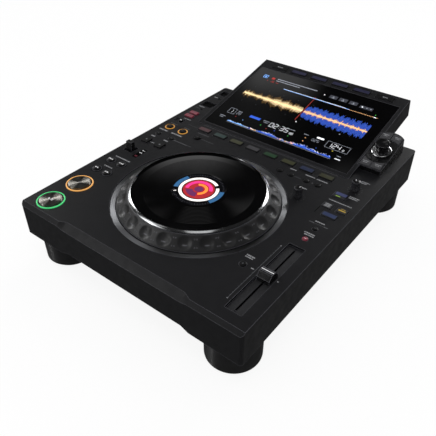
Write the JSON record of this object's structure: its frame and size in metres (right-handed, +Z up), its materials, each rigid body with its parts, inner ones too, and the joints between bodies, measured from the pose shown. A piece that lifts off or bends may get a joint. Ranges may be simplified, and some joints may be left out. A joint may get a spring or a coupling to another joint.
{
  "type": "tabletop dj media player",
  "caption": "Tabletop DJ player: low black case on drum feet with a jog wheel, tilted screen, tempo fader and columns of lit keys.",
  "frame": {"origin": "on the table, under the middle of the whole player", "axes": "+Z up, +Y away from the operator towards the display, +X to the operator's right"},
  "size_m": [0.329, 0.471, 0.1247],
  "materials": {
    "bezel_metal": "polished ring",
    "case_plastic": "satin black moulding",
    "circuit_board": "solder mask",
    "dial_plastic": "satin black with grip dimples",
    "disc_metal": "spun",
    "fader_plastic": "satin",
    "foot_plastic": "polished black",
    "hub_plastic": "matt",
    "inlet_plastic": "matt",
    "key_amber": "lit amber",
    "key_blue": "lit blue",
    "key_green": "lit green",
    "key_grey": "satin grey",
    "key_olive": "lit olive",
    "key_pink": "lit pink",
    "key_red": "lit red",
    "key_rubber": "satin",
    "key_teal": "lit teal",
    "knob_plastic": "satin",
    "lower_plastic": "matt black moulding",
    "pad_rubber": "matt",
    "panel_metal": "powder coat",
    "plate_gloss": "glossy black with fine grooves",
    "pod_plastic": "satin",
    "readout": "lit round readout",
    "rim_chrome": "polished",
    "ring_glow": "lit translucent ring",
    "screen_glass": "polished black glass",
    "screen_module": "matt",
    "screw_steel": "black zinc",
    "supply_metal": "folded sheet"
  },
  "bodies": {
    "case": {"upper_case": "case_plastic", "lower_case": "lower_plastic", "feet": "foot_plastic", "foot_pads": "pad_rubber", "display_housing": "case_plastic", "display_glass": "screen_glass", "lcd_module": "screen_module", "selector_pod": "pod_plastic", "jog_bezel": "bezel_metal", "jog_hub": "hub_plastic", "jog_display": "readout", "main_board": "circuit_board", "control_board": "circuit_board", "power_supply": "supply_metal", "rear_panel": "panel_metal", "ac_inlet": "inlet_plastic", "case_screws": "screw_steel", "light_rings": "ring_glow"},
    "jog_wheel": {"jog_dial": "dial_plastic", "jog_plate": "plate_gloss", "jog_rim": "rim_chrome"},
    "play_key": {"play_button": "disc_metal"},
    "cue_key": {"cue_button": "disc_metal"},
    "search_back_key": {"search_back_button": "key_rubber"},
    "search_forward_key": {"search_forward_button": "key_rubber"},
    "track_back_key": {"track_back_button": "key_rubber"},
    "track_forward_key": {"track_forward_button": "key_rubber"},
    "jump_key": {"jump_buttons": "key_rubber"},
    "loop_in_key": {"loop_in_button": "key_rubber"},
    "loop_out_key": {"loop_out_button": "key_rubber"},
    "reloop_key": {"reloop_button": "key_rubber"},
    "loop_length_key": {"loop_length_buttons": "key_rubber"},
    "slip_key": {"slip_button": "key_rubber"},
    "quantize_key": {"quantize_button": "key_red"},
    "time_key": {"time_button": "key_red"},
    "port_stop_key": {"port_stop_buttons": "key_rubber"},
    "hot_cue_a_key": {"hot_cue_a": "key_pink"},
    "hot_cue_b_key": {"hot_cue_b": "key_teal"},
    "hot_cue_c_key": {"hot_cue_c": "key_olive"},
    "hot_cue_d_key": {"hot_cue_d": "key_rubber"},
    "hot_cue_e_key": {"hot_cue_e": "key_green"},
    "hot_cue_f_key": {"hot_cue_f": "key_olive"},
    "hot_cue_g_key": {"hot_cue_g": "key_blue"},
    "hot_cue_h_key": {"hot_cue_h": "key_olive"},
    "menu_key": {"menu_buttons": "key_grey"},
    "pod_key": {"pod_buttons": "key_grey"},
    "memory_key": {"memory_buttons": "key_rubber"},
    "jog_mode_key": {"jog_mode_button": "key_blue"},
    "sync_key": {"sync_button": "key_rubber"},
    "master_key": {"master_button": "key_amber"},
    "key_key": {"key_button": "key_blue"},
    "tempo_reset_key": {"tempo_reset_button": "key_rubber"},
    "tempo_range_key": {"tempo_range_button": "key_rubber"},
    "master_tempo_key": {"master_tempo_button": "key_red"},
    "power_key": {"power_button": "knob_plastic"},
    "selector_dial": {"selector_knob": "knob_plastic"},
    "vinyl_speed_dial": {"vinyl_speed_knob": "knob_plastic"},
    "jog_adjust_dial": {"jog_adjust_knob": "knob_plastic"},
    "lever": {"direction_lever": "knob_plastic"},
    "fader": {"tempo_slider": "fader_plastic"}
  },
  "joints": [
    {"name": "jog_turn", "type": "hinge", "parent": "case", "child": "jog_wheel", "pos_m": [0, -0.09791, 0.084], "axis": [0, 0, 1], "continuous": true},
    {"name": "play_press", "type": "slide", "parent": "case", "child": "play_key", "axis": [0, 0, -1], "range_m": [0, 0.001], "stiffness_N_per_m": 800, "springref_m": -0.0005},
    {"name": "cue_press", "type": "slide", "parent": "case", "child": "cue_key", "axis": [0, 0, -1], "range_m": [0, 0.001], "stiffness_N_per_m": 800, "springref_m": -0.0005},
    {"name": "search_back_press", "type": "slide", "parent": "case", "child": "search_back_key", "axis": [0, 0, -1], "range_m": [0, 0.001], "stiffness_N_per_m": 800, "springref_m": -0.0005},
    {"name": "search_forward_press", "type": "slide", "parent": "case", "child": "search_forward_key", "axis": [0, 0, -1], "range_m": [0, 0.001], "stiffness_N_per_m": 800, "springref_m": -0.0005},
    {"name": "track_back_press", "type": "slide", "parent": "case", "child": "track_back_key", "axis": [0, 0, -1], "range_m": [0, 0.001], "stiffness_N_per_m": 800, "springref_m": -0.0005},
    {"name": "track_forward_press", "type": "slide", "parent": "case", "child": "track_forward_key", "axis": [0, 0, -1], "range_m": [0, 0.001], "stiffness_N_per_m": 800, "springref_m": -0.0005},
    {"name": "jump_press", "type": "slide", "parent": "case", "child": "jump_key", "axis": [0, 0, -1], "range_m": [0, 0.001], "stiffness_N_per_m": 800, "springref_m": -0.0005},
    {"name": "loop_in_press", "type": "slide", "parent": "case", "child": "loop_in_key", "axis": [0, 0, -1], "range_m": [0, 0.001], "stiffness_N_per_m": 800, "springref_m": -0.0005},
    {"name": "loop_out_press", "type": "slide", "parent": "case", "child": "loop_out_key", "axis": [0, 0, -1], "range_m": [0, 0.001], "stiffness_N_per_m": 800, "springref_m": -0.0005},
    {"name": "reloop_press", "type": "slide", "parent": "case", "child": "reloop_key", "axis": [0, 0, -1], "range_m": [0, 0.001], "stiffness_N_per_m": 800, "springref_m": -0.0005},
    {"name": "loop_length_press", "type": "slide", "parent": "case", "child": "loop_length_key", "axis": [0, 0, -1], "range_m": [0, 0.001], "stiffness_N_per_m": 800, "springref_m": -0.0005},
    {"name": "slip_press", "type": "slide", "parent": "case", "child": "slip_key", "axis": [0, 0, -1], "range_m": [0, 0.001], "stiffness_N_per_m": 800, "springref_m": -0.0005},
    {"name": "quantize_press", "type": "slide", "parent": "case", "child": "quantize_key", "axis": [0, 0, -1], "range_m": [0, 0.001], "stiffness_N_per_m": 800, "springref_m": -0.0005},
    {"name": "time_press", "type": "slide", "parent": "case", "child": "time_key", "axis": [0, 0, -1], "range_m": [0, 0.001], "stiffness_N_per_m": 800, "springref_m": -0.0005},
    {"name": "port_stop_press", "type": "slide", "parent": "case", "child": "port_stop_key", "axis": [0, 0, -1], "range_m": [0, 0.001], "stiffness_N_per_m": 800, "springref_m": -0.0005},
    {"name": "hot_cue_a_press", "type": "slide", "parent": "case", "child": "hot_cue_a_key", "axis": [0, 0, -1], "range_m": [0, 0.001], "stiffness_N_per_m": 800, "springref_m": -0.0005},
    {"name": "hot_cue_b_press", "type": "slide", "parent": "case", "child": "hot_cue_b_key", "axis": [0, 0, -1], "range_m": [0, 0.001], "stiffness_N_per_m": 800, "springref_m": -0.0005},
    {"name": "hot_cue_c_press", "type": "slide", "parent": "case", "child": "hot_cue_c_key", "axis": [0, 0, -1], "range_m": [0, 0.001], "stiffness_N_per_m": 800, "springref_m": -0.0005},
    {"name": "hot_cue_d_press", "type": "slide", "parent": "case", "child": "hot_cue_d_key", "axis": [0, 0, -1], "range_m": [0, 0.001], "stiffness_N_per_m": 800, "springref_m": -0.0005},
    {"name": "hot_cue_e_press", "type": "slide", "parent": "case", "child": "hot_cue_e_key", "axis": [0, 0, -1], "range_m": [0, 0.001], "stiffness_N_per_m": 800, "springref_m": -0.0005},
    {"name": "hot_cue_f_press", "type": "slide", "parent": "case", "child": "hot_cue_f_key", "axis": [0, 0, -1], "range_m": [0, 0.001], "stiffness_N_per_m": 800, "springref_m": -0.0005},
    {"name": "hot_cue_g_press", "type": "slide", "parent": "case", "child": "hot_cue_g_key", "axis": [0, 0, -1], "range_m": [0, 0.001], "stiffness_N_per_m": 800, "springref_m": -0.0005},
    {"name": "hot_cue_h_press", "type": "slide", "parent": "case", "child": "hot_cue_h_key", "axis": [0, 0, -1], "range_m": [0, 0.001], "stiffness_N_per_m": 800, "springref_m": -0.0005},
    {"name": "menu_press", "type": "slide", "parent": "case", "child": "menu_key", "axis": [0, 0.2198, -0.9755], "range_m": [0, 0.0008], "stiffness_N_per_m": 800, "springref_m": -0.0005},
    {"name": "pod_press", "type": "slide", "parent": "case", "child": "pod_key", "axis": [0, 0.2198, -0.9755], "range_m": [0, 0.0006], "stiffness_N_per_m": 800, "springref_m": -0.0005},
    {"name": "memory_press", "type": "slide", "parent": "case", "child": "memory_key", "axis": [0, 0, -1], "range_m": [0, 0.001], "stiffness_N_per_m": 800, "springref_m": -0.0005},
    {"name": "jog_mode_press", "type": "slide", "parent": "case", "child": "jog_mode_key", "axis": [0, 0, -1], "range_m": [0, 0.001], "stiffness_N_per_m": 800, "springref_m": -0.0005},
    {"name": "sync_press", "type": "slide", "parent": "case", "child": "sync_key", "axis": [0, 0, -1], "range_m": [0, 0.001], "stiffness_N_per_m": 800, "springref_m": -0.0005},
    {"name": "master_press", "type": "slide", "parent": "case", "child": "master_key", "axis": [0, 0, -1], "range_m": [0, 0.001], "stiffness_N_per_m": 800, "springref_m": -0.0005},
    {"name": "key_press", "type": "slide", "parent": "case", "child": "key_key", "axis": [0, 0, -1], "range_m": [0, 0.001], "stiffness_N_per_m": 800, "springref_m": -0.0005},
    {"name": "tempo_reset_press", "type": "slide", "parent": "case", "child": "tempo_reset_key", "axis": [0, 0, -1], "range_m": [0, 0.001], "stiffness_N_per_m": 800, "springref_m": -0.0005},
    {"name": "tempo_range_press", "type": "slide", "parent": "case", "child": "tempo_range_key", "axis": [0, 0, -1], "range_m": [0, 0.001], "stiffness_N_per_m": 800, "springref_m": -0.0005},
    {"name": "master_tempo_press", "type": "slide", "parent": "case", "child": "master_tempo_key", "axis": [0, 0, -1], "range_m": [0, 0.001], "stiffness_N_per_m": 800, "springref_m": -0.0005},
    {"name": "power_press", "type": "slide", "parent": "case", "child": "power_key", "axis": [0, -1, 0], "range_m": [0, 0.0025], "stiffness_N_per_m": 800, "springref_m": -0.0005},
    {"name": "selector_turn", "type": "hinge", "parent": "case", "child": "selector_dial", "pos_m": [0.1358, 0.11505, 0.09929], "axis": [0, -0.2198, 0.9755], "continuous": true},
    {"name": "vinyl_speed_turn", "type": "hinge", "parent": "case", "child": "vinyl_speed_dial", "pos_m": [0.141, 0.03279, 0.084], "axis": [0, 0, 1], "range_deg": [-150, 150]},
    {"name": "jog_adjust_turn", "type": "hinge", "parent": "case", "child": "jog_adjust_dial", "pos_m": [0.092, -0.02221, 0.084], "axis": [0, 0, 1], "range_deg": [-150, 150]},
    {"name": "lever_rock", "type": "hinge", "parent": "case", "child": "lever", "pos_m": [-0.147, -0.06721, 0.0768], "axis": [1, 0, 0], "range_deg": [-12, 12]},
    {"name": "tempo_slide", "type": "slide", "parent": "case", "child": "fader", "axis": [0, 1, 0], "range_m": [-0.049, 0.049]}
  ]
}
